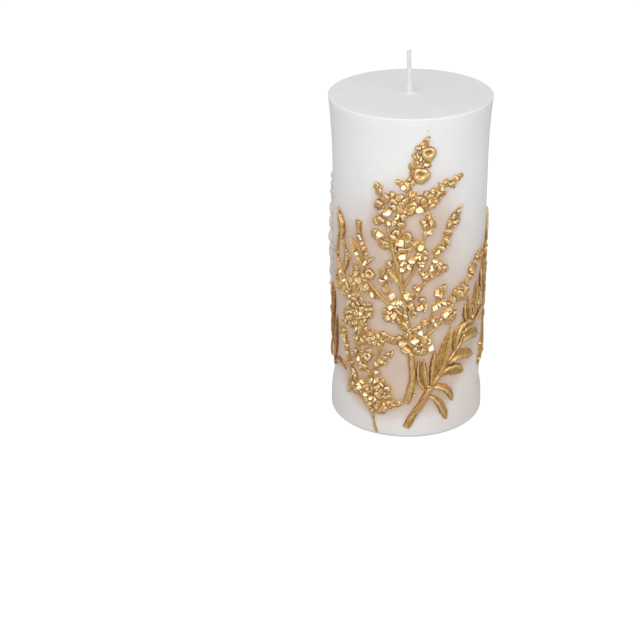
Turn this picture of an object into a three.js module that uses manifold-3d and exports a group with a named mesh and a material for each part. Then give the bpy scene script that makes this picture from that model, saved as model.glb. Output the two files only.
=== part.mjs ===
// A pillar candle with gilded botanical sprigs in low relief all round it.
//
// Millimetres, +Z up, origin at the centre of the base. The front line of the candle faces -Y.
// The relief is laid out on the candle's unrolled side: s runs to the right along the surface,
// from the front line, and z runs up from the base.

import * as THREE from "three";
import { mergeVertices } from "three/addons/utils/BufferGeometryUtils.js";
import Module from "manifold-3d";

const wasm = await Module();
wasm.setup();

// Candle body
const BODY_HEIGHT = 145;
const RIM_RADIUS = 34.2;
const WAIST_RADIUS = 32.9;
const FOOT_RADIUS = 33.6;
const RIM_FLARE_START = 118;
const FOOT_FLARE_START = 34;
const FOOT_FLARE_END = 13;
const RIM_ROUND = 0.4;
const FOOT_ROUND = 1.3;
const ROUND_STEPS = 3;
const FLARE_STEPS = 5;
const BODY_SIDES = 60;

// Wick, its bore and the metal sustainer that holds its foot
const WICK_RADIUS = 1;
const WICK_TOP = 163;
const WICK_LEAN = 0.9;
const WICK_TIP_SLANT = 0.4;
const WICK_SIDES = 10;
const WICK_STEPS = 12;
const CLEARANCE = 0.3;
const BORE_RADIUS = WICK_RADIUS + CLEARANCE;
const WAX_COLLAR = { radius: 3.6, rise: 1.1 };
const SUSTAINER = { discRadius: 6.25, sheet: 0.3, neckWall: 0.35, neckHeight: 3.2 };
const SUSTAINER_SIDES = 36;

// Relief
const CHART_RADIUS = 34;
const RELIEF_GAP = 0.35;
const STEM_HEIGHT = 0.85;
const LEAF_HEIGHT = 1.05;
const KNOT_HEIGHT = 1.35;
const LEAF_END_SHARE = 0.15;
const STRIP_SIDES = 4;
const STEP_LENGTH = 6;
const KNOT_STEP = 3.4;
const KNOT_WIDTH = 4.6;

const MERGE_DISTANCE = 1e-4;

const COLOURS = {
  wax: { color: 0xe9e5e0, roughness: 0.45, metalness: 0 },
  wick: { color: 0xe6e4de, roughness: 0.8, metalness: 0 },
  steel: { color: 0xa9abad, roughness: 0.35, metalness: 1 },
  gold: { color: 0xc39a5c, roughness: 0.35, metalness: 0.9 },
};

// Sprigs. A stem has a line of (s, z) points, a width at each end and, where it flowers, the
// shares of its length between which the blossoms stand. A leaf has a line from its base to its
// tip and its greatest width.
const stem = (line, width, blossoms) => ({ line, width, blossoms });
const leaf = (line, width) => ({ line, width });

const TALL_BLOSSOM_SPRIG = {
  stems: [
    stem([[0.3, 17.5], [2.7, 28], [2, 40], [0.6, 53], [-1.7, 67]], [2.6, 1.6]),
    stem([[-1.7, 67], [-4.5, 80], [-8, 95], [-11, 107], [-13.8, 117]], [1.6, 1.2], [0.3, 1]),
    stem([[-5.5, 84], [-4, 96], [-2, 110], [2.5, 122], [6.8, 137.3]], [1.4, 1.2], [0.1, 0.98]),
    stem([[-2, 107], [8, 112.5], [23.8, 119.8]], [1.5, 0.9], [0.15, 0.95]),
    stem([[-1.7, 67], [0.8, 77], [4.5, 90], [9.3, 102]], [1.4, 1], [0.3, 1]),
    stem([[-0.9, 61], [6.5, 72.5], [11.5, 84.5], [17.3, 95], [24.3, 105.7]], [1.5, 0.9], [0.2, 1]),
    stem([[0, 56.5], [-10, 67.5], [-19.5, 80], [-27, 89.5]], [1.5, 1], [0.1, 1]),
    stem([[-19.5, 80], [-21.3, 91.5], [-21.9, 99]], [1.1, 1], [0.3, 1]),
    stem([[2, 43], [12.5, 52.5], [26.5, 68], [37.5, 79]], [1.6, 1.1], [0.05, 0.95]),
    stem([[10, 50.4], [12, 62], [14.5, 69.5]], [1.1, 1], [0.3, 1]),
    stem([[1.5, 43], [-3, 46], [-7, 47.5]], [1.2, 1], [0.2, 1]),
  ],
  leaves: [],
};

const LEAF_SPRIG = {
  stems: [
    stem([[0.5, 5.5], [7, 17], [12.5, 27.5]], [3.6, 1.9]),
    stem([[12.5, 27.5], [23, 39], [33.5, 51.5], [39, 57]], [1.9, 1.3]),
  ],
  leaves: [
    leaf([[11.5, 25.5], [16, 23.8], [20, 20.5], [22.5, 15.5]], 2.6),
    leaf([[9, 20.5], [14, 18], [17, 13.5], [20, 7]], 3),
    leaf([[9, 21], [7.5, 30], [7.6, 37.5]], 2.8),
    leaf([[12.2, 26], [12.8, 33], [13.3, 40]], 3.2),
    leaf([[15.5, 30.5], [18.5, 40], [21, 50.3]], 5.2),
    leaf([[25, 41], [25.5, 47], [31, 50], [36, 48.5]], 4.2),
    leaf([[27, 43.5], [32, 44], [37, 42.5], [41, 39.5]], 3.8),
    leaf([[20, 36], [26, 37], [31, 35.5], [35.5, 33.5]], 4),
    leaf([[15, 30], [20, 31], [25, 30.5], [28.5, 29]], 4.4),
    leaf([[31.5, 49.5], [29.5, 54], [28.5, 60]], 2.2),
    leaf([[32.5, 50.5], [31.5, 56], [31.2, 62.5]], 2),
    leaf([[36.5, 54.5], [37.5, 60], [36.2, 67]], 2.6),
    leaf([[34.5, 52.2], [40, 50.5], [46, 47.5]], 3.8),
  ],
};

const BUSHY_BLOSSOM_SPRIG = {
  stems: [
    stem([[-12.8, 1.8], [-14.8, 9.5], [-15.5, 22], [-16, 29]], [1.2, 1.5]),
    stem([[-16, 29], [-14, 35], [-11.5, 42], [-11.3, 49]], [1.4, 1], [0, 1]),
    stem([[-15.8, 27], [-18.5, 33], [-21.5, 47], [-26, 60], [-31, 68.5]], [1.6, 1.3], [0, 0.9]),
    stem([[-31, 68.5], [-34, 73], [-35, 86], [-35, 98]], [1.3, 1.1], [0.5, 1]),
    stem([[-26, 60], [-25, 69], [-24.3, 75.5]], [1.2, 1], [0.2, 1]),
    stem([[-31, 68.5], [-31.5, 76], [-29.5, 83]], [1.2, 1], [0.2, 1]),
    stem([[-28.5, 64], [-33, 66], [-37, 68]], [1.4, 1.1], [0.2, 1]),
    stem([[-20.3, 41], [-25, 50], [-30, 54]], [1.2, 1], [0.3, 1]),
    stem([[-21.5, 47], [-18.5, 55], [-17.5, 60]], [1.2, 1], [0.2, 1]),
    stem([[-15, 12], [-24, 24], [-31, 38], [-34.5, 48]], [1.3, 1], [0.1, 1]),
    stem([[-14.9, 13], [-9, 15.5], [-3.5, 17]], [1.3, 1], [0.1, 1]),
    stem([[-15.2, 18], [-21, 19.5], [-27.5, 19]], [1.3, 1], [0.1, 1]),
    stem([[-15.5, 22], [-12, 25], [-8, 24]], [1.3, 1], [0.2, 1]),
    stem([[-14.3, 34], [-10, 37], [-6.3, 41]], [1.1, 0.9], [0.3, 1]),
  ],
  leaves: [],
};

const NARROW_LEAF_SPRIG = {
  stems: [stem([[-41.5, 24], [-42.5, 40], [-42, 61]], [1.8, 1.2])],
  leaves: [
    leaf([[-41.5, 25.5], [-36, 28.5], [-31, 26.8]], 3),
    leaf([[-42.3, 36], [-39, 43], [-37.6, 50]], 2.4),
    leaf([[-42.4, 34], [-45, 40], [-46.5, 48]], 2.6),
    leaf([[-42.4, 46], [-44.6, 53], [-45.5, 60]], 2.6),
  ],
};

const TRAILING_SPRIG = {
  stems: [
    stem([[48, 30], [50.5, 45], [52, 60], [53, 80]], [1.8, 1.4], [0.45, 1]),
    stem([[52, 60], [48, 68], [45.5, 76]], [1.3, 1], [0.2, 1]),
    stem([[52, 60], [56, 68], [58, 78]], [1.3, 1], [0.2, 1]),
  ],
  leaves: [
    leaf([[48.3, 33], [46, 27], [41, 24.5]], 3.6),
    leaf([[48, 31], [52, 26], [57, 24]], 3.4),
    leaf([[50, 42], [46.5, 37], [44, 33]], 2.6),
    leaf([[50.3, 43], [54, 46], [57.5, 45]], 3),
    leaf([[51.6, 56], [47.5, 58], [44, 57]], 3),
    leaf([[53, 79], [53.4, 87], [52.8, 95.5]], 2.6),
  ],
};

const SPRIGS = {
  tall_blossom_sprig: TALL_BLOSSOM_SPRIG,
  leaf_sprig: LEAF_SPRIG,
  bushy_blossom_sprig: BUSHY_BLOSSOM_SPRIG,
  narrow_leaf_sprig: NARROW_LEAF_SPRIG,
  trailing_sprig: TRAILING_SPRIG,
};

// Radius of the wax side at height z: a waist behind the relief, flaring to the rim and the foot.
function bodyRadius(z) {
  const rim = Math.max(0, z - RIM_FLARE_START) / (BODY_HEIGHT - RIM_FLARE_START);
  const foot = 1 - THREE.MathUtils.smoothstep(z, FOOT_FLARE_END, FOOT_FLARE_START);
  return WAIST_RADIUS + (RIM_RADIUS - WAIST_RADIUS) * rim ** 2 + (FOOT_RADIUS - WAIST_RADIUS) * foot;
}

// The point that stands `lift` proud of the wax side at chart position (s, z).
function onBody(s, z, lift) {
  const turn = s / CHART_RADIUS;
  const radius = bodyRadius(z) + lift;
  return [radius * Math.sin(turn), -radius * Math.cos(turn), z];
}

// Evenly spaced numbers, with both ends.
function spread(from, to, steps) {
  return Array.from({ length: steps + 1 }, (_, i) => THREE.MathUtils.lerp(from, to, i / steps));
}

// Profile points round a quarter circle, from one angle to the other.
function arc(centreR, centreZ, radius, from, to) {
  return spread(from, to, ROUND_STEPS).map((angle) => {
    const [r, z] = [centreR + radius * Math.cos(angle), centreZ + radius * Math.sin(angle)];
    return new THREE.Vector2(r, z);
  });
}

function positionsOnly(geometry) {
  geometry.deleteAttribute("normal");
  geometry.deleteAttribute("uv");
  return mergeVertices(geometry, MERGE_DISTANCE);
}

function revolve(profile, sides) {
  const closedProfile = [...profile, profile[0].clone()];
  return positionsOnly(new THREE.LatheGeometry(closedProfile, sides).rotateX(Math.PI / 2));
}

// A closed cylinder of unit radius whose points are moved. `place` takes a point's place across
// the section and its share of the length.
function reshapedCylinder(sides, steps, place) {
  const geometry = positionsOnly(new THREE.CylinderGeometry(1, 1, 1, sides, steps));
  const position = geometry.getAttribute("position");
  for (let i = 0; i < position.count; i += 1) {
    const point = place(position.getX(i), position.getZ(i), position.getY(i) + 0.5);
    position.setXYZ(i, ...point);
  }
  return geometry;
}

function chartCurve(line) {
  return new THREE.SplineCurve(line.map(([s, z]) => new THREE.Vector2(s, z)));
}

// A strip along a chart line, thickest along its middle. Ring by ring, `sizeAt` gives its half
// width and height from the share of the length and the ring's number.
function strip(line, stepLength, sizeAt) {
  const curve = chartCurve(line);
  const steps = Math.max(2, Math.ceil(curve.getLength() / stepLength));
  return reshapedCylinder(STRIP_SIDES, steps, (across, up, share) => {
    const centre = curve.getPointAt(share);
    const along = curve.getTangentAt(share);
    const { halfWidth, height } = sizeAt(share, Math.round(share * steps));
    const reach = across * halfWidth;
    const lift = RELIEF_GAP + (height * (up + 1)) / 2;
    return onBody(centre.x + along.y * reach, centre.y - along.x * reach, lift);
  });
}

// A bare stem tapers evenly. Where it flowers, every second ring is as wide as a knot of petals.
function stemSolid({ line, width, blossoms }) {
  const [from, to] = blossoms ?? [1, 0];
  return strip(line, blossoms ? KNOT_STEP : STEP_LENGTH, (share, ring) => {
    const knot = share >= from && share <= to && ring % 2 === 1;
    const stemWidth = THREE.MathUtils.lerp(width[0], width[1], share);
    return {
      halfWidth: (knot ? KNOT_WIDTH : stemWidth) / 2,
      height: knot ? KNOT_HEIGHT : STEM_HEIGHT,
    };
  });
}

// A leaf is blunt at both ends and widest in the middle.
function leafSolid({ line, width }) {
  return strip(line, STEP_LENGTH, (share) => ({
    halfWidth: (width / 2) * THREE.MathUtils.lerp(LEAF_END_SHARE, 1, Math.sin(Math.PI * share)),
    height: LEAF_HEIGHT,
  }));
}

function toManifold(geometry) {
  const vertProperties = new Float32Array(geometry.getAttribute("position").array);
  const triVerts = new Uint32Array(geometry.getIndex().array);
  return new wasm.Manifold(new wasm.Mesh({ numProp: 3, vertProperties, triVerts }));
}

function fromManifold(solid) {
  const { vertProperties, triVerts } = solid.getMesh();
  const geometry = new THREE.BufferGeometry();
  geometry.setAttribute("position", new THREE.BufferAttribute(vertProperties, 3));
  geometry.setIndex(new THREE.BufferAttribute(triVerts, 1));
  geometry.computeVertexNormals();
  return geometry;
}

function sprigGeometry({ stems, leaves }) {
  const pieces = [...stems.map(stemSolid), ...leaves.map(leafSolid)];
  return fromManifold(pieces.map(toManifold).reduce((joined, piece) => joined.add(piece)));
}

// The wax body, with the wick bore right through it and a stepped recess for the sustainer. The
// wax has crept a little up the wick.
function waxBodyGeometry() {
  const recessRadius = SUSTAINER.discRadius + CLEARANCE;
  const recessTop = CLEARANCE + SUSTAINER.sheet + CLEARANCE;
  const neckRadius = BORE_RADIUS + SUSTAINER.neckWall + CLEARANCE;
  const neckTop = CLEARANCE + SUSTAINER.neckHeight + CLEARANCE;
  const sideTop = BODY_HEIGHT - RIM_ROUND;
  const sideHeights = [
    ...spread(FOOT_FLARE_END, FOOT_FLARE_START, FLARE_STEPS),
    ...spread(RIM_FLARE_START, sideTop, FLARE_STEPS).slice(0, -1),
  ];
  const collarMiddle = (BORE_RADIUS + WAX_COLLAR.radius) / 2 - CLEARANCE;
  const profile = [
    new THREE.Vector2(BORE_RADIUS, neckTop),
    new THREE.Vector2(neckRadius, neckTop),
    new THREE.Vector2(neckRadius, recessTop),
    new THREE.Vector2(recessRadius, recessTop),
    new THREE.Vector2(recessRadius, 0),
    ...arc(FOOT_RADIUS - FOOT_ROUND, FOOT_ROUND, FOOT_ROUND, -Math.PI / 2, 0),
    ...sideHeights.map((z) => new THREE.Vector2(bodyRadius(z), z)),
    ...arc(bodyRadius(sideTop) - RIM_ROUND, sideTop, RIM_ROUND, 0, Math.PI / 2),
    new THREE.Vector2(WAX_COLLAR.radius, BODY_HEIGHT),
    new THREE.Vector2(collarMiddle, BODY_HEIGHT + WAX_COLLAR.rise / 4),
    new THREE.Vector2(BORE_RADIUS, BODY_HEIGHT + WAX_COLLAR.rise),
  ];
  return revolve(profile, BODY_SIDES);
}

// The wick stands straight in its bore, leans a little above the wax and is cut on a slant. Half
// of its rings are in the bore and half above it.
function wickGeometry() {
  const bottom = CLEARANCE + SUSTAINER.sheet;
  return reshapedCylinder(WICK_SIDES, WICK_STEPS, (across, up, share) => {
    const risen = Math.max(0, 2 * share - 1);
    const sunk = Math.max(0, 1 - 2 * share);
    const height = BODY_HEIGHT + risen * (WICK_TOP - BODY_HEIGHT) - sunk * (BODY_HEIGHT - bottom);
    const lean = -WICK_LEAN * risen * risen;
    const slant = WICK_TIP_SLANT * across * risen;
    return [WICK_RADIUS * across + lean, -WICK_RADIUS * up, height + slant];
  });
}

// A flat steel disc with a crimped neck that the wick stands in.
function sustainerGeometry() {
  const bottom = CLEARANCE;
  const neckTop = bottom + SUSTAINER.neckHeight;
  const profile = [
    new THREE.Vector2(BORE_RADIUS, bottom),
    new THREE.Vector2(SUSTAINER.discRadius, bottom),
    new THREE.Vector2(SUSTAINER.discRadius, bottom + SUSTAINER.sheet),
    new THREE.Vector2(BORE_RADIUS + SUSTAINER.neckWall, bottom + SUSTAINER.sheet),
    new THREE.Vector2(BORE_RADIUS + SUSTAINER.neckWall, neckTop),
    new THREE.Vector2(BORE_RADIUS, neckTop),
  ];
  return revolve(profile, SUSTAINER_SIDES);
}

function named(name, geometry, colours) {
  const mesh = new THREE.Mesh(geometry, new THREE.MeshStandardMaterial(colours));
  mesh.name = name;
  return mesh;
}

// One face of the candle's relief. The mould repeats it once, half a turn round.
function sprigSet(side, turn) {
  const set = new THREE.Group();
  set.rotation.z = turn;
  for (const [name, sprig] of Object.entries(SPRIGS)) {
    set.add(named(`${name}_${side}`, sprigGeometry(sprig), COLOURS.gold));
  }
  return set;
}

const group = new THREE.Group();
group.add(named("wax_body", waxBodyGeometry(), COLOURS.wax));
group.add(named("wick", wickGeometry(), COLOURS.wick));
group.add(named("wick_sustainer", sustainerGeometry(), COLOURS.steel));
group.add(sprigSet("front", 0));
group.add(sprigSet("back", Math.PI));

export default group;
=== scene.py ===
import math
from collections import namedtuple

import bpy
import numpy as np
from mathutils import Matrix, Quaternion, Vector


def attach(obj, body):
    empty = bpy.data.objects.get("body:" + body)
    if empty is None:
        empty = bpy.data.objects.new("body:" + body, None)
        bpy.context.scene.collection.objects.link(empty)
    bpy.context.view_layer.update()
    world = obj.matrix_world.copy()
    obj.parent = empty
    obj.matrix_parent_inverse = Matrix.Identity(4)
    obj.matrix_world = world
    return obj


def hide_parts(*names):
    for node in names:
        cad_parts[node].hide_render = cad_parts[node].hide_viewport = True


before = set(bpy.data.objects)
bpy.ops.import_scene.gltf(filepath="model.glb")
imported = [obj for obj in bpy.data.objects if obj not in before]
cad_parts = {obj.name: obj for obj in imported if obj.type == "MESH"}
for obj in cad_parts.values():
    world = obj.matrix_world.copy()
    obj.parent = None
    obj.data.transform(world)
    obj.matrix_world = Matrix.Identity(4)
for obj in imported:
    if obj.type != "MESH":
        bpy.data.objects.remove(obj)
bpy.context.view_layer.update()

# A white wax pillar candle with gilded sprigs in low relief all round it.
#
# The relief is laid out on the candle's unrolled side: s runs to the right along the surface from
# the front line, which faces -Y, and z runs up from the base. Lengths are in millimetres and angles
# in degrees, unless a comment says otherwise.

MM = 0.001
SEED = 145

# Sizes that the CAD also has
BODY_HEIGHT = 145
RIM_RADIUS = 34.2
WAIST_RADIUS = 32.9
FOOT_RADIUS = 33.6
RIM_FLARE_START = 118
FOOT_FLARE_START = 34
FOOT_FLARE_END = 13
RIM_ROUND = 0.4
FOOT_ROUND = 1.3
CHART_RADIUS = 34
HALF_ROUND = math.pi * CHART_RADIUS
SUSTAINER_BOTTOM = 0.3
SUSTAINER_RADIUS = 6.25
SUSTAINER_SHEET = 0.3
SUSTAINER_NECK_HEIGHT = 3.2
SUSTAINER_NECK_RADIUS = 1.65
RECESS_RADIUS = 6.55
RECESS_TOP = 0.9
NECK_RECESS_RADIUS = 1.95
NECK_RECESS_TOP = 3.8
BORE_RADIUS = 1.3

# Camera
CAMERA_ELEVATION = 23.735
CAMERA_DISTANCE = 662.5
CAMERA_PIVOT = (0, 0, 72.5)
CAMERA_AIM = (-38.6, 0, 39.86)
CAMERA_ROLL = -0.703
LENS = 85.77
SENSOR = 36

# Lamps round the candle: turn 0 is in front and 90 to the right. Widths and heights are in metres,
# powers in watts.
Lamp = namedtuple("Lamp", "turn elevation distance width height power")
LAMPS = {
    "key": Lamp(-25, 40, 600, 0.3, 0.3, 1.0),
    "fill": Lamp(38, 20, 1200, 0.9, 0.7, 4.4),
    "left": Lamp(-65, 15, 1200, 0.9, 0.7, 1.1),
    "back": Lamp(170, 40, 1200, 1.0, 0.6, 0.25),
}

# The pale surroundings: how strongly they light the candle, how bright the camera sees them, how
# much the floor glows for the camera, and half the floor's side
SKY_STRENGTH = 0.76
BACKDROP_STRENGTH = 1.2
FLOOR_GLOW = 0.72
FLOOR_HALF = 8000

# The wax body's grid, and how far hand casting has left it off its true shape
ROUND_STEPS = 320
SIDE_STEP = 0.72
UNEVEN_SLOW = 0.045
UNEVEN_QUICK = 0.02
SHRINKAGE = 0.05
LIP_WIDTH = 0.35
LIP_HEIGHT = 0.05
COLLAR_RISE = 1.05
COLLAR_RADII = (3.6, 3.1, 2.6, 2.2, 1.9, 1.65, 1.4, 1.2, 1.1)

# A dent in the wax under the trailing sprig, and a shallow hollow high on the left
DENT_S = 54
DENT_Z = 18
DENT_DEPTH = 1.5
DENT_WIDTH = 9
DENT_HEIGHT = 6
HOLLOW_Z = 108
HOLLOW_DEPTH = 0.45
HOLLOW_HEIGHT = 20

# Wick, which is two cords side by side, and sustainer
WICK_TOP = 163.0
WICK_LEAN = 0.9
WICK_FOOT = 0.6
WICK_SIDES = 40
CORD_OFFSET = 0.46
CORD_RADIUS = 0.52
SUSTAINER_SIDES = 96

# Relief grid: its cell, how deep a sprig's underside is sunk in the wax, and how deep its edge is
GRID = 0.27
BURIED = -0.9
SKIRT = -0.35

# Stems and leaves, and how strong the tool marks on all the gold are
WALL_SLOPE = 2.2
STEM_RISE = 1.12
BARK_DEPTH = 0.07
EDGE_CURL = 0.22
MIDRIB_DEPTH = 0.22
TOOL_MARKS = 0.17

# Petals: the slope of a side, how much wider they are than laid out, their least and greatest
# rise, and the share of them with two lobes
PETAL_WALL = 4.5
PETAL_SPREAD = 1.33
PETAL_LOW = 0.25
PETAL_HIGH = 1.75
LOBED_SHARE = 0.45

# Bright petals: their size beside the others, rise, the painted highlight that makes their paint
# paler, and steepest tilt
BRIGHT_SHARE = 0.82
BRIGHT_RISE = 1.15
BRIGHT_PAINTED_HIGHLIGHT = -0.2
STEEPEST_GLINT = 0.85

# How many petals peep out from under each one with a large enough radius, and their rise and fold
UNDER_PETALS = 5
UNDER_PETALS_FROM = 0.75
UNDER_RISE = 0.6
UNDER_FOLD = 0.4

# The ditch round each petal and blossom
DITCH_FLOOR = 0.38
DITCH_WIDTH = 0.08

# Painted shade that makes the paint of some sprigs darker, or lighter where the number is negative,
# which is partly painted light and partly thinner gilding: on a sprig's parts below HIGH_FROM and
# above HIGH_TO. Then how much darker the paint is on every leaf and stem
SPRIG_PAINTED_SHADE = {
    "narrow_leaf_sprig": (0.32, 0.32),
    "trailing_sprig": (0.12, -0.5),
    "leaf_sprig": (0.1, 0.1),
}
HIGH_FROM = 78
HIGH_TO = 90
LEAF_DARKENING = 0.06
STEM_DARKENING = 0.08

# The wax's warm tint round the gold, and the brown stain close to it, which is partly painted
# shadow:
# the cell of their grid, how far they spread, the heights over which the tint starts and ends, the
# painted shade that darkens and warms the foot and how much more it has on the right, and how much
# tint the bare blossoms have
BLOOM_CELL = 1.0
TINT_SPREAD = 6
FAINT_TINT_SPREAD = 13
STAIN_AND_SHADOW_SPREAD = 2
TINT_STARTS = (-14, 22)
TINT_ENDS = (96, 134)
FOOT_PAINTED_SHADE = 0.22
FOOT_PAINTED_SHADE_ON_RIGHT = 0.2
BARE_BLOOM = 0.6


# ---- sprigs, laid out on the unrolled side

# stems: a line of (s, z) points, and a width at each end.
# leaves: a line, the greatest width, how far along the leaf it lies, and a taper. The lower the
# taper, the blunter the ends.
# petals, bright petals and cups: (s, z, radius). Bright ones are tilted to catch the key light.
Sprig = namedtuple("Sprig", "stems leaves petals bright_petals cups", defaults=((), ()))


def leaf(line, width, fullest=0.45, taper=0.7):
    return line, width, fullest, taper


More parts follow.
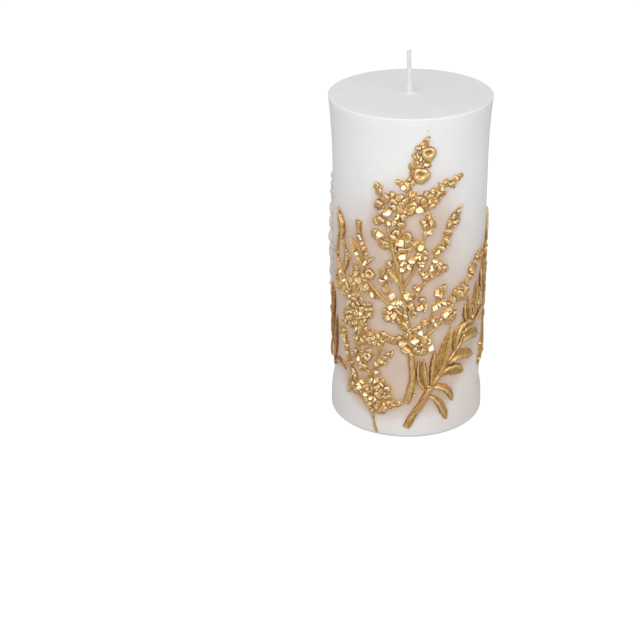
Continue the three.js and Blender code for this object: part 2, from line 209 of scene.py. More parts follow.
TALL_BLOSSOM_SPRIG = Sprig(stems=[
    ([(0.3, 17.5), (1.5, 22), (2.7, 28), (2.6, 33), (2, 40), (1.8, 47), (0.6, 53),
      (-0.4, 57)], (3.3, 2.3)),
    ([(-0.4, 57), (-1.7, 67), (-2.8, 72)], (2.3, 1.8)),
    ([(-2.3, 70), (-4.5, 80), (-6.5, 88), (-8, 95), (-10, 101), (-11, 107),
      (-13.8, 117)], (1.9, 1)),
    ([(-2.2, 71), (-3.4, 79), (-5.5, 87), (-4, 96), (-4, 103), (-2, 109.5),
      (0.5, 115.5)], (1.6, 1.3)),
    ([(0.5, 115.5), (2.5, 121.5), (4.5, 127.5), (6.2, 133.5), (6.8, 136.8)], (1.4, 0.7)),
    ([(-1, 107.5), (3, 109.5), (8, 112), (13, 114.8), (18, 117), (23.4, 119)], (1.5, 0.7)),
    ([(-2.3, 71), (0.1, 75), (2.2, 78.7), (3.5, 84), (5.3, 89), (6.9, 93.3), (7.6, 97),
      (9.3, 103)], (1.5, 0.9)),
    ([(-1, 62), (3.5, 67.5), (6.5, 72.5), (8.5, 76), (10, 80), (11.5, 84.5), (14, 88)], (1.3, 1)),
    ([(14, 88), (16.5, 91), (17.3, 95), (18.3, 99), (20.5, 102), (24.3, 105.7)], (1, 0.6)),
    ([(-0.9, 57.6), (-5.1, 61.5), (-8.2, 63.7), (-11.3, 66), (-15.4, 70)], (1.8, 1.5)),
    ([(-15.4, 70), (-18, 72.8), (-19.6, 75.5), (-20.2, 79.4)], (1.5, 1.3)),
    ([(-20.2, 79.4), (-20.8, 86), (-21.8, 91), (-22.6, 94)], (1.1, 0.9)),
    ([(-22.5, 92.4), (-22.9, 95.5), (-22.8, 98.4)], (2.6, 3.3)),
    ([(2, 46), (8, 48.3), (12.5, 52.5), (16, 56), (19.5, 60), (23, 64), (26.5, 68)], (1.3, 1.1)),
    ([(26.5, 68), (31, 72.5), (34, 75.5), (38.5, 79.3)], (1.2, 1)),
    ([(9, 49), (10, 56), (12, 62), (14.5, 69.5)], (1.1, 0.9)),
    ([(1.5, 45), (-2, 46.5), (-8, 48)], (1.1, 0.9)),
    ([(-7.5, 83), (-10, 79), (-9.3, 75), (-9.6, 70.5)], (0.9, 0.7)),
    ([(-8, 95), (-11, 94), (-15, 95.5)], (1, 0.8)),
    ([(-9.5, 99.5), (-12, 101), (-14.5, 102)], (1, 0.8)),
], leaves=[
    leaf([(-27.4, 89.6), (-25.1, 86.2), (-22.6, 82.9), (-20.4, 79.4)], 5.2, 0.5),
    leaf([(-18.8, 79.4), (-17, 82.4), (-14.6, 84)], 1.7),
    leaf([(-2.4, 71.5), (-5, 76.2), (-8.6, 79.6)], 3.9, 0.6),
    leaf([(-4.6, 90.6), (-5.2, 93.6), (-5.3, 97.6)], 4.2, 0.6),
    leaf([(6, 108), (9.8, 110.2), (14, 111.6)], 3.4, 0.5),
    leaf([(1, 45.6), (-3.2, 46.7), (-8.2, 48.6)], 2.9, 0.5),
], petals=[
    (3, 51.5, 1.3), (5.5, 53.3, 0.9), (8, 55.3, 1.3), (7.4, 47.7, 1.5), (5, 44.8, 1.5),
    (4.3, 42.3, 1.6), (7.3, 42, 1.2), (9.5, 46.3, 1.2), (0, 43, 1.6), (-0.5, 49.5, 1.1),
    (-1.5, 54, 1.5), (-1, 58, 1.1), (-4, 56.5, 1.2), (-6, 59, 1.6), (-9, 60, 1.4),
    (-8.5, 57.3, 1.2), (2, 68, 1.2), (2, 63, 1.2), (5, 63, 1.5), (6.5, 66, 1.2), (3, 60, 0.9),
    (8, 61.5, 1), (12, 55.3, 1.4), (15.5, 55.5, 1.1), (20, 55, 1.9), (21.5, 57, 1.2),
    (14, 68.5, 1.5), (15.6, 70.3, 1.1), (16, 64, 1.2), (20.5, 64.5, 1.4), (22.5, 66.5, 1.4),
    (24, 65, 1.8), (26, 63.5, 1.4), (28.2, 66, 1.5), (25.5, 68.2, 1.1), (18.5, 62, 1),
    (33, 74, 1.9), (31, 75.3, 1.1), (35.5, 76.7, 1.3), (38.3, 78.5, 1.4), (31, 71.5, 1.1),
    (36, 79.3, 1.1), (-1.8, 80, 1.2), (5.5, 82, 1.4), (-2.2, 88.2, 1.5), (-0.6, 94.3, 1.7),
    (1.5, 89.5, 1.2), (3, 91.4, 1.1), (5.5, 89.7, 1.3), (13.5, 81, 1.3), (14, 78.5, 1.3),
    (16.5, 79.5, 1.1), (10.5, 77, 1.6), (7, 78, 1.2), (8.3, 75.7, 1.2), (4.5, 71.5, 1.1),
    (4.7, 86, 1.3), (7.5, 84.5, 1.1), (7.3, 87.4, 1), (-14.5, 95, 1.5), (-12, 93.2, 1.3),
    (-10.7, 90.5, 1.4), (-8.4, 90.5, 1.2), (-14, 100.5, 1.3), (-12, 101, 1.3), (-6.3, 109.5, 1.2),
    (-13, 108, 1.3), (-10, 110.5, 1.4), (-13, 113.5, 1.2), (-14, 115.8, 1.1), (-2, 104.5, 1.4),
    (-4, 106.5, 1.3), (-6.8, 107, 1.2), (-6, 100.5, 1.1), (-3, 100, 1.1), (-5, 96.5, 1.1),
    (-6.5, 94, 1), (-4.4, 87, 0.9), (-4, 111.5, 1.4), (-1, 110, 1.3), (-3, 108.7, 1.1),
    (0.5, 105.8, 1.2), (-11.5, 104.5, 1.2), (-7.5, 112.5, 1.1), (-1.3, 115.5, 1.1),
    (-3.8, 117.8, 1), (1, 113, 1.1), (-18.9, 72, 1.1), (-19.6, 75, 1.1), (-20.9, 68.9, 1.2),
    (-19.4, 68.7, 1), (-17.4, 69.6, 1.1), (-15.2, 67.4, 1.4), (-22.4, 91.2, 1.1),
    (-19.9, 86.8, 0.8), (-20.8, 89, 0.8), (-18.8, 84.6, 0.7), (-11, 78, 1.1), (-10.4, 73.3, 1.1),
    (-9.6, 70, 1.2), (-7.7, 73.6, 0.7), (-8.3, 82, 1.1), (-7.5, 47.6, 1.2), (-5.3, 47, 1.2),
    (-3.3, 47.7, 1.3), (-1.5, 46, 1.4), (-9.2, 49, 0.8), (4.5, 132, 1.4), (3, 129, 1.2),
    (1, 125.5, 1.1), (1.5, 122.5, 1), (6.7, 136.2, 0.9), (5.6, 134.5, 0.9), (3.5, 124.5, 1.1),
    (0.3, 119.1, 1.1), (7.2, 126.2, 1), (8, 137.5, 0.35), (7.3, 139.9, 0.3), (7, 108, 1.4),
    (9.5, 108.5, 1.4), (11.5, 110, 1.3), (4, 110.8, 1.2), (7.3, 112.5, 1.2), (10.5, 114, 1.2),
    (14, 112.8, 1.2), (13.3, 115.8, 1), (16, 116.8, 1.2), (18.7, 115.9, 1.1), (20.6, 118.1, 1),
    (22.4, 118.6, 0.8), (23.8, 119, 0.5), (6, 110, 1.2), (9, 111.6, 1.2), (12.3, 112.2, 1.2),
    (2, 108.8, 1.2), (14.6, 115, 1), (1.4, 107, 1.2), (6.3, 130.8, 1.2), (5.5, 128, 1.3),
    (7.3, 128.3, 1), (6.3, 133.3, 1.1), (2.8, 126.5, 1), (-0.6, 117.6, 1), (1.8, 118.4, 0.9),
    (14, 88.4, 1.3), (12.3, 87, 1.1), (16.7, 91, 1.4), (17.3, 94.7, 1.4), (18.3, 98, 1.1),
    (20.5, 101.5, 1.2), (21.3, 98.8, 1.1), (22.5, 103.5, 0.9), (24.3, 105.2, 0.6), (7.3, 99, 1.2),
    (10, 99.8, 1.1), (9, 102.5, 0.8), (7, 95.8, 0.9), (6.2, 101, 0.8), (3.7, 24.3, 0.5),
    (3.6, 21.4, 0.5),
], bright_petals=[
    (3.4, 47.3, 1.6), (6, 50.9, 1.4), (10.6, 43.2, 1.5), (-5, 64, 2), (-3.4, 64.6, 1.4),
    (-6.6, 67.5, 1.6), (0, 68, 1.7), (18.2, 59.4, 1.8), (16.6, 57.8, 1.6), (13, 62.5, 1.8),
    (-3.7, 92, 2.1), (-2.6, 85.6, 1.6), (-1.9, 82.6, 1.3), (0.8, 81.5, 1.5), (1.7, 84.2, 1.5),
    (9.8, 80, 1.4), (11.5, 83.4, 1.3), (4.2, 85, 1.3), (-2.4, 79.8, 1.2), (5.9, 81.5, 1),
    (4.4, 71.2, 1.2), (11.9, 61.9, 1.3), (-6.6, 62.5, 1.2), (-23.3, 84, 1.2), (-9, 105, 2),
    (-5, 103.5, 1.4), (-12.3, 94.8, 1.5), (-8.2, 100.2, 1.2), (9, 96.5, 1.4), (4.5, 106.5, 1.7),
    (-2.3, 115.9, 1.2), (-18.9, 80.5, 1.3), (-9.2, 75.8, 1), (12, 53.9, 1.1), (-7.4, 62.3, 1.2),
], cups=[
    (5.1, 121, 3.6), (7.9, 130.2, 3.2), (-16.9, 75.9, 2.5), (-7.5, 60.2, 1.3),
])

LEAF_SPRIG = Sprig(stems=[
    ([(0.4, 5.6), (3.4, 11.6), (6.4, 16.2), (9, 21)], (3.5, 2.9)),
    ([(9, 21), (11, 24.3), (14, 28.6), (18.6, 34.4), (23, 39), (26, 42.5)], (2.9, 1.9)),
    ([(26, 42.5), (28.5, 46), (31, 49), (33.5, 51.5), (36, 54), (39, 57)], (1.9, 1.4)),
], leaves=[
    leaf([(10.5, 24), (13.5, 24.2), (17.5, 22.8), (20.3, 19.4), (21.6, 15.6)], 3.3, 0.6, 0.4),
    leaf([(8.3, 20.7), (11.5, 19.6), (14.8, 16.4), (17, 12), (18.8, 7.2)], 3.7, 0.66, 0.48),
    leaf([(8.8, 22.6), (6.2, 27), (5.5, 32), (5.4, 38.6)], 2.6),
    leaf([(9.4, 23.8), (7.7, 29), (7.6, 38.2)], 3.7),
    leaf([(11, 25), (12.3, 32), (12.8, 41.3)], 4.3, 0.5),
    leaf([(15.3, 29.8), (16.6, 36.5), (18.6, 44), (20.4, 51.3)], 5.9, 0.42),
    leaf([(22.3, 38.6), (22.6, 43.5), (24.3, 48), (27.8, 51.6)], 3.6, 0.5),
    leaf([(24.8, 47), (28.5, 49.6), (32, 49.7), (36, 48.2)], 4.6, 0.6),
    leaf([(26.3, 42.3), (30.5, 43.8), (35.5, 43.3), (40.4, 40.8)], 4.9, 0.64, 0.5),
    leaf([(19, 34.4), (24.5, 36.4), (30, 35.4), (35.2, 33.2)], 5.1, 0.58, 0.52),
    leaf([(14.6, 28.8), (19, 30.6), (24, 30), (28, 27.8)], 5.4, 0.6, 0.5),
    leaf([(30.6, 50.5), (28.6, 54), (28.2, 59.5)], 2.8),
    leaf([(31.3, 51), (30.9, 56), (30.3, 62.5)], 3.2),
    leaf([(33.5, 52), (35.6, 59.5), (36.6, 67.5)], 3.6),
    leaf([(37.3, 53), (39.2, 58), (39.6, 64)], 2.8),
    leaf([(34.8, 48.6), (38.5, 49.7), (42, 50.8), (46.8, 50.8)], 4.6, 0.6),
    leaf([(33, 52), (34.2, 54.5), (33.6, 57.5)], 1.9),
], petals=[
    (33.8, 51.6, 1.1), (39, 56.6, 1.3), (28.2, 44.8, 0.9), (10.2, 25, 0.7),
])

BUSHY_BLOSSOM_SPRIG = Sprig(stems=[
    ([(-12.8, 1.5), (-14, 5), (-14.8, 9.5), (-15, 15), (-15.5, 22), (-16, 28)], (1.2, 1.5)),
    ([(-16, 28), (-14, 34), (-12.5, 39), (-10.8, 45), (-10, 49.5)], (1.3, 0.9)),
    ([(-15.8, 26), (-18.5, 33), (-20, 40), (-21.5, 47), (-23.5, 54), (-26, 60),
      (-28, 64)], (1.5, 1.4)),
    ([(-27.3, 61.1), (-28.2, 64.1), (-31.1, 68.6), (-34.7, 72.4), (-36.6, 75.5)], (2.3, 1.7)),
    ([(-36.5, 74.4), (-38.4, 77.4), (-37.9, 82.6), (-36.8, 88.6)], (2, 1.6)),
    ([(-27, 62), (-25.5, 69), (-24, 76)], (1.1, 0.9)),
    ([(-31.5, 69.5), (-32.4, 73.4), (-31.4, 79), (-31.5, 85), (-33.2, 89)], (1.6, 1)),
    ([(-20.3, 41), (-25, 50), (-31, 54)], (1.2, 0.9)),
    ([(-21.5, 47), (-18.8, 54), (-17.5, 61)], (1.2, 0.9)),
    ([(-15, 12), (-20, 19), (-24, 24), (-27, 28), (-29, 33), (-31, 38), (-33, 43),
      (-34.8, 48.5)], (1.3, 0.8)),
    ([(-14.9, 13), (-9, 15.3), (-1.8, 17.2)], (1.2, 0.7)),
    ([(-15.2, 18), (-21, 19.5), (-28, 19)], (1.2, 0.9)),
    ([(-15.5, 22), (-12, 25), (-8, 24)], (1.1, 0.9)),
    ([(-14.3, 34), (-10, 37), (-5.8, 42)], (1, 0.6)),
], leaves=[
    leaf([(-38, 99.4), (-36.2, 96.1), (-34.9, 92.9), (-34.3, 90.1), (-33.9, 86.6)], 6.6, 0.52),
    leaf([(-36.9, 98), (-35.2, 93), (-33.4, 87.6)], 2.6, 0.5),
    leaf([(-30.6, 83.4), (-30.3, 80), (-31, 76.5), (-32, 72.6)], 4),
    leaf([(-39.4, 70.6), (-37.4, 66.6), (-34.3, 63.6), (-29.4, 62.6)], 5.6, 0.4),
    leaf([(-20.3, 58), (-24.3, 62), (-25.6, 67)], 2.6, 0.5),
    leaf([(-15, 21.3), (-18.6, 19.2), (-21.6, 17.4)], 2.4, 0.5),
    leaf([(-13.4, 26.8), (-10.8, 23.2), (-8.6, 19.6)], 2.6, 0.5),
    leaf([(-14.2, 33.6), (-11.4, 35.6), (-8.4, 35.6)], 2.2, 0.6),
    leaf([(-13.6, 36.6), (-11.4, 37.9), (-8.4, 38.8)], 2, 0.6),
    leaf([(-9, 38.2), (-7, 40), (-5.6, 42.6)], 1.6, 0.5),
    leaf([(-28.6, 19.4), (-27.6, 22), (-26.6, 25)], 2.8, 0.5),
], petals=[
    (-26, 27.5, 1.4), (-24.7, 25.5, 1.1), (-27.5, 32, 1.7), (-29.5, 34.5, 1.1), (-30.6, 37.6, 1.3),
    (-29.3, 30.6, 1.1), (-31.3, 40.2, 1.1), (-32.5, 42.4, 1.2), (-33.7, 46.6, 1.2),
    (-32.4, 44.6, 1), (-34.6, 43.2, 0.9), (-26.6, 21.3, 1.6), (-27.6, 19, 1.3), (-25, 19.5, 1.3),
    (-23.2, 19.2, 1.3), (-21, 18.6, 1.3), (-19.3, 22, 1.2), (-20.5, 24.3, 1.1), (-18, 20.6, 1.2),
    (-17, 14.6, 1.4), (-18.4, 16.3, 1.2), (-15.2, 12.6, 1.2), (-13, 13.4, 1.2), (-11, 12.8, 1.1),
    (-9.6, 14.5, 1.3), (-12, 16.3, 1.5), (-14.2, 16, 1), (-7.5, 16.3, 1.3), (-5.4, 17, 1.1),
    (-3.3, 17, 0.8), (-9.6, 18.6, 1.3), (-7.3, 19.5, 1.1), (-12.4, 20, 1.3), (-10.6, 22.3, 1.2),
    (-13.5, 22.7, 1.1), (-11.5, 25, 1.1), (-8.4, 23.5, 1.1), (-13.3, 27, 1.1), (-16.4, 26.6, 1.3),
    (-10.3, 27.4, 0.9), (-20.6, 31, 1.4), (-22, 33, 1.2), (-18.6, 31.5, 1.2), (-21.7, 36.5, 1.2),
    (-24.4, 37.6, 1.1), (-25.6, 35.8, 0.9), (-13, 35, 1.1), (-11.5, 36.4, 1.2), (-9.6, 38, 0.9),
    (-8, 40, 0.8), (-13, 31, 1), (-16.3, 39.6, 1.1), (-19.6, 40, 1.1), (-22.8, 42, 1.3),
    (-24, 44.3, 1.1), (-21, 43.6, 1.3), (-19.3, 45.5, 1.1), (-16.8, 44.5, 1.7), (-14, 44.8, 1.2),
    (-12, 43, 1.1), (-11, 46.6, 1.2), (-13, 47.8, 1), (-10.3, 49.5, 0.9), (-15, 46.8, 1.1),
    (-16.8, 48, 0.9), (-18.3, 50, 0.9), (-22.3, 46.8, 1.1), (-21.3, 49.2, 1.3), (-24.8, 48.6, 1.5),
    (-24.3, 51.3, 1.2), (-26.6, 50.6, 1.1), (-28.3, 49.6, 1), (-27.3, 52.6, 1.3),
    (-29.3, 51.6, 1.1), (-31, 50, 0.9), (-30, 54.5, 1.2), (-31.6, 53, 0.8), (-26, 55, 1.3),
    (-24.8, 57.5, 1.3), (-22.5, 54.3, 1.2), (-20.6, 52.3, 1.1), (-19.4, 54.6, 1.1),
    (-18.3, 57, 1.3), (-20.3, 58.8, 1.2), (-17.5, 59.6, 1.2), (-16.9, 61.6, 0.8),
    (-18.6, 61.2, 0.9), (-26.5, 59.5, 1.5), (-28.5, 60.6, 1.2), (-25, 62.5, 1.2), (-27.3, 64, 1.3),
    (-24.5, 65.5, 1.6), (-22.6, 64.3, 0.9), (-25.5, 68, 1.3), (-23.1, 71.3, 1.5),
    (-24.3, 75.1, 1.6), (-24, 77.2, 1.1), (-30, 64, 1), (-31.5, 65, 1.1), (-35.6, 66.2, 0.9),
    (-37.8, 68, 0.9), (-29, 81, 0.9), (-32.6, 86.2, 0.8), (-38.4, 80, 0.9), (-27, 70.4, 1.1),
    (-22.8, 68.6, 1), (-25.6, 72.6, 0.9),
], bright_petals=[
    (-21.8, 21.8, 1.7), (-18.4, 18.6, 1.1), (-15.8, 18, 1.2), (-26, 26.5, 1), (-22, 35, 1.4),
    (-21.3, 56.6, 1.1), (-16.5, 47.8, 0.7), (-33.6, 71.6, 1.3), (-31.4, 68.9, 1), (-27.5, 63.2, 1),
], cups=[
    (-17.8, 37, 2.1), (-14.3, 17.4, 1.5), (-23.5, 56.2, 1.7), (-12.3, 24, 1.2),
])

NARROW_LEAF_SPRIG = Sprig(stems=[
    ([(-41.5, 24.5), (-42, 32), (-42.8, 40), (-43.2, 50), (-43.4, 61)], (1.8, 1.2)),
], leaves=[
    leaf([(-41.5, 25.5), (-36.5, 28.6), (-30.3, 26.3)], 2.9),
    leaf([(-40.6, 28.5), (-39.5, 38), (-38.8, 49.6)], 2.6),
    leaf([(-42.3, 33), (-45, 40), (-46.5, 48)], 3.4),
    leaf([(-43, 45), (-45.2, 53), (-46.4, 62)], 3.6),
    leaf([(-43, 47), (-42, 54), (-42.4, 61)], 1.9),
], petals=[])

TRAILING_SPRIG = Sprig(stems=[
    ([(47.5, 30), (49.5, 38), (50.5, 45), (51, 56), (51, 66), (52.6, 81)], (1.8, 1.2)),
    ([(51, 56), (46.5, 64), (44, 72), (42.5, 78)], (1.3, 0.9)),
    ([(51, 58), (56, 68), (58, 78)], (1.2, 0.9)),
    ([(52.6, 52.5), (53.4, 60), (53.4, 70), (53.2, 81), (53, 93)], (3.6, 2.6)),
], leaves=[
    leaf([(50, 42), (47.8, 36), (44.6, 30.5), (40.6, 25.4)], 4.4, 0.55),
    leaf([(48, 31), (52, 26.5), (57, 24)], 3.4),
    leaf([(50.3, 44), (54, 46.5), (57.5, 45)], 3),
    leaf([(44.2, 50), (46.6, 53.4), (50.5, 57.5)], 3.8),
    leaf([(42.6, 60), (41, 65), (41.2, 72)], 2.4),
    leaf([(46, 63.5), (43.6, 69), (43.8, 76)], 3.4),
    leaf([(50.5, 60), (47.6, 68), (47.3, 78)], 4.2),
    leaf([(51.5, 64), (51.6, 71), (50.3, 79)], 2.8),
    leaf([(55.5, 64), (55, 71), (56, 79)], 2.6),
    leaf([(52.6, 79), (53.4, 87), (52.8, 95.5)], 2.8),
], petals=[
    (50.5, 60, 1.3), (48.5, 62.5, 1.2), (51.4, 64.5, 1.3), (46.2, 67, 1.1), (49.6, 71, 1.2),
    (46, 73, 1.1), (53.4, 66, 1.3), (55.3, 64.5, 1.2), (54.6, 69.3, 1.2), (57, 70, 1.1),
    (53, 74, 1.2), (57.6, 74.6, 1.1), (43.4, 77.4, 1), (41.6, 79.2, 0.9), (45.6, 78.2, 1.1),
    (47.6, 79.8, 1), (40.6, 77.6, 0.8), (50.3, 79.6, 1), (52.6, 78, 1.2), (54.6, 79.6, 0.9),
    (58, 78, 0.9), (53.4, 57, 1.2),
], bright_petals=[
    (42.2, 35.3, 0.8), (41.6, 28, 0.8),
])

# Behind, only the lower part of the trailing sprig is painted. The rest is bare wax.
PAINTED_BEHIND = TRAILING_SPRIG._replace(
    stems=TRAILING_SPRIG.stems[:1],
    leaves=TRAILING_SPRIG.leaves[:4],
    petals=TRAILING_SPRIG.petals[:2],
)
BARE_BEHIND = TRAILING_SPRIG._replace(
    stems=TRAILING_SPRIG.stems[1:] + [([(53, 92), (53.4, 101), (53.2, 110)], (1.6, 0.8))],
    leaves=TRAILING_SPRIG.leaves[4:],
    petals=TRAILING_SPRIG.petals[2:],
    bright_petals=[],
)

# Plump blossoms along the bare part: (s, z, half width, half height, rise)
BARE_BLOSSOMS = (
    (53.2, 108.6, 2, 1.3, 0.8),
    (53.9, 105.2, 2, 1.4, 0.9),
    (52.6, 101.3, 2.2, 1.9, 1.1),
    (53.8, 94.4, 2.8, 2.6, 1.3),
    (52.9, 87.2, 3.0, 3.3, 1.4),
    (54.1, 81, 2.8, 2.7, 1.7),
    (53, 73.6, 2.8, 4.4, 1.5),
    (53.9, 64.2, 2.6, 4.2, 1.3),
)

SPRIGS = {
    "tall_blossom_sprig": TALL_BLOSSOM_SPRIG,
    "leaf_sprig": LEAF_SPRIG,
    "bushy_blossom_sprig": BUSHY_BLOSSOM_SPRIG,
    "narrow_leaf_sprig": NARROW_LEAF_SPRIG,
    "trailing_sprig": TRAILING_SPRIG,
}


# ---- the wax side and its chart

def smoothstep(value, low, high):
    t = np.clip((value - low) / (high - low), 0, 1)
    return t * t * (3 - 2 * t)


def body_radius(z):
    """Radius of the wax side: a waist behind the relief, flaring to the rim and the foot."""
    rim = np.clip((z - RIM_FLARE_START) / (BODY_HEIGHT - RIM_FLARE_START), 0, 1)
    foot = 1 - smoothstep(z, FOOT_FLARE_END, FOOT_FLARE_START)
    waist_to_rim = (RIM_RADIUS - WAIST_RADIUS) * rim ** 2
    return WAIST_RADIUS + waist_to_rim + (FOOT_RADIUS - WAIST_RADIUS) * foot


def unevenness(s, z):
    """How far the wax side is off its true shape."""
    turn = s / CHART_RADIUS
    slow = np.sin(2 * turn + z / 23) + 0.6 * np.sin(3 * turn - z / 31 + 1.3)
    quick = np.sin(9 * turn + z / 7.1) * np.sin(5 * turn - z / 9.3 + 0.7)
    inner = smoothstep(z, 0, 8) * (1 - smoothstep(z, 137, 144))
    beside = (s - DENT_S + HALF_ROUND / 2) % HALF_ROUND - HALF_ROUND / 2
    dent = DENT_DEPTH * np.exp(-(beside / DENT_WIDTH) ** 2 - ((z - DENT_Z) / DENT_HEIGHT) ** 2)
    on_left = smoothstep(-np.sin(turn), 0.4, 1)
    hollow = HOLLOW_DEPTH * np.exp(-((z - HOLLOW_Z) / HOLLOW_HEIGHT) ** 2) * on_left
    return (UNEVEN_SLOW * slow + UNEVEN_QUICK * quick - SHRINKAGE - dent - hollow) * inner


def round_axis(radius, turn, height):
    """Points round the candle's axis, in metres."""
    x, y = radius * np.sin(turn), -radius * np.cos(turn)
    return np.stack(np.broadcast_arrays(x, y, height), axis=-1) * MM


def on_side(s, z, lift):
    return round_axis(body_radius(z) + unevenness(s, z) + lift, s / CHART_RADIUS, z)


def round_candle(turn, elevation, distance):
    """A place seen from the candle's middle: turn 0 is in front, 90 to the right."""
    a = math.radians(turn)
    e = math.radians(elevation)
    back = Vector((math.sin(a) * math.cos(e), -math.cos(a) * math.cos(e), math.sin(e)))
    return Vector(CAMERA_PIVOT) + back * distance


def blurred(field, sigma):
    """A field blurred by a Gaussian of sigma cells, wrapping round at its edges."""
    rows = np.fft.fftfreq(field.shape[0])[:, None]
    columns = np.fft.rfftfreq(field.shape[1])[None, :]
    keep = np.exp(-2 * (math.pi * sigma) ** 2 * (rows ** 2 + columns ** 2))
    return np.fft.irfft2(np.fft.rfft2(field) * keep, s=field.shape)


# ---- relief as heights over the wax

def blend_max(a, b, softness):
    share = np.clip(0.5 + 0.5 * (a - b) / softness, 0, 1)
    return b + (a - b) * share + softness * share * (1 - share)


def blend_min(a, b, softness):
    return -blend_max(-a, -b, softness)


class Relief:
    """Heights over the wax, on a grid over a stretch of the unrolled side."""

    def __init__(self, low, high):
        self.s = np.arange(low[0], high[0], GRID)
        self.z = np.arange(low[1], high[1], GRID)
        self.height = np.full((self.z.size, self.s.size), BURIED)
        self.painted_shade_and_tone = np.zeros(self.height.shape)

    def near(self, low, high):
        rows = slice(*np.searchsorted(self.z, (low[1], high[1])))
        columns = slice(*np.searchsorted(self.s, (low[0], high[0])))
        s, z = np.meshgrid(self.s[columns], self.z[rows])
        return (rows, columns), s, z

    def around(self, s, z, reach):
        """The grid places round a middle, and how far right of it and above it each one is."""
        place, at_s, at_z = self.near((s - reach, z - reach), (s + reach, z + reach))
        return place, at_s - s, at_z - z

    def sink_round(self, place, depth):
        """Cuts a narrow ditch into what lies just outside an outline."""
        ditch = DITCH_FLOOR + np.maximum(0, -depth - DITCH_WIDTH) * PETAL_WALL
        self.height[place] = np.minimum(self.height[place], ditch)

    def raise_to(self, place, height, softness=0.1, painted_shade_and_tone=0.0):
        # Where the new part is on top, its painted shade and tone replace what lay there; negative
        # values paint it lighter
        self.painted_shade_and_tone[place] = np.where(height > self.height[place], painted_shade_and_tone, self.painted_shade_and_tone[place])
        self.height[place] = blend_max(self.height[place], height, softness)


def curve_through(line, step=0.3):
    """Evenly spread points on a smooth curve through a line's points."""
    points = np.array(line, float)
    ends = np.vstack([2 * points[0] - points[1], points, 2 * points[-1] - points[-2]])
    t = np.linspace(0, 1, 12, endpoint=False)[:, None]
    spans = []
    for a, b, c, d in zip(ends, ends[1:], ends[2:], ends[3:]):
        cubic = (-a + 3 * b - 3 * c + d) * t ** 3 + (2 * a - 5 * b + 4 * c - d) * t ** 2
        spans.append(0.5 * (cubic + (c - a) * t + 2 * b))
    dense = np.vstack(spans + [points[-1:]])
    reach = np.concatenate([[0], np.cumsum(np.hypot(*np.diff(dense, axis=0).T))])
    wanted = np.linspace(0, reach[-1], max(4, int(reach[-1] / step)))
    return np.stack([np.interp(wanted, reach, dense[:, k]) for k in (0, 1)], axis=-1), reach[-1]


def follow(relief, line, margin):
    """Where each grid place near a line lies: across it, past its ends and as a share of it."""
    points, length = curve_through(line)
    place, s, z = relief.near(points.min(0) - margin, points.max(0) + margin)
    away = (s[..., None] - points[:, 0]) ** 2 + (z[..., None] - points[:, 1]) ** 2
    nearest = away.argmin(-1)
    along = np.gradient(points, axis=0)
    along /= np.hypot(along[:, 0], along[:, 1])[:, None]
    ds, dz = s - points[nearest, 0], z - points[nearest, 1]
    across = ds * along[nearest, 1] - dz * along[nearest, 0]
    ahead = ds * along[nearest, 0] + dz * along[nearest, 1]
    last = len(points) - 1
    past = np.where(nearest == 0, -ahead, np.where(nearest == last, ahead, 0))
    return place, across, past, nearest / last, length


def add_stem(relief, line, width, rng):
    """A woody stem with bark ridges, cut flat at its ends."""
    place, across, past, share, length = follow(relief, line, max(width) / 2 + 1)
    knots = 1 + 0.06 * np.sin(share * length * 1.1 + rng.uniform(0, 6))
    half = (width[0] + (width[1] - width[0]) * share) / 2 * knots
    crown = np.minimum(0.35 + 0.55 * half, STEM_RISE)
    x = across / half
    inside = crown * np.sqrt(np.clip(1 - x * x, 0, 1))
    bark = BARK_DEPTH * np.cos(5.5 * x + 2 * np.sin(share * length * 0.35 + rng.uniform(0, 6)))
    bark += 0.05 * np.cos(10 * x - share * length * 0.8)
    wall = (half - abs(across)) * WALL_SLOPE
    height = np.where(abs(x) < 1, inside + bark * (abs(x) < 0.85), wall)
    height = blend_min(height, crown + 0.1 - past * WALL_SLOPE * 2, 0.15)
    relief.raise_to(place, height, painted_shade_and_tone=STEM_DARKENING)


def add_leaf(relief, line, width, fullest, taper, rng):
    """A leaf, folded along a ridge that wanders across it, with fine veins and a wavy edge."""
    place, across, past, share, length = follow(relief, line, width / 2 + 1)
    bend = math.log(0.5) / math.log(fullest)
    wave = 1 + 0.07 * np.sin(share * length * 1.9 + rng.uniform(0, 6) + np.sign(across))
    half = width / 2 * (np.sin(math.pi * np.clip(share, 0.02, 0.995) ** bend)) ** taper * wave
    half = np.maximum(half, 0.2 * width * (1 - share))
    x = across / half
    crown = 0.85 + 0.45 * np.sin(math.pi * share) + 0.12 * width / 4
    ridge = rng.choice((-1, 1)) * 0.6 * np.sin(0.8 + 1.9 * share + rng.uniform(-0.4, 0.4))
    tent = 1 - abs(x - ridge) / (1 + np.sign(x - ridge) * -ridge)
    veins = 0.035 * np.cos(across * 6 + np.sin(share * length * 0.7)) * (abs(x) < 0.8)
    curled_edge = EDGE_CURL * np.exp(-((abs(x) - 0.86) / 0.12) ** 2)
    midrib = MIDRIB_DEPTH * np.exp(-((x + 0.25 * ridge) / 0.09) ** 2)
    blade = crown * (0.2 + 0.8 * np.clip(tent, 0, 1) ** 1.15) + curled_edge + veins - midrib
    blade = blade * np.clip((1 - abs(x)) * 6, 0, 1)
    height = np.where(abs(x) < 1, blade, (half - abs(across)) * WALL_SLOPE)
    height = blend_min(height, crown - past * WALL_SLOPE * 2, 0.15)
    relief.raise_to(place, height, painted_shade_and_tone=LEAF_DARKENING)


def facets(s, z, radius, rng):
    """How far inside a random outline each place is. Its sides are straight, its corners worn."""
    sides = int(rng.integers(4, 8))
    start = rng.uniform(0, 2 * math.pi)
    wear = radius * rng.uniform(0.05, 0.4)
    depth = np.full(s.shape, 9.0)
    for k in range(sides):
        angle = start + (k + rng.uniform(-0.25, 0.25)) * 2 * math.pi / sides
        reach = radius * rng.uniform(0.8, 1.1)
        depth = blend_min(depth, reach - s * math.cos(angle) - z * math.sin(angle), wear)
    return depth


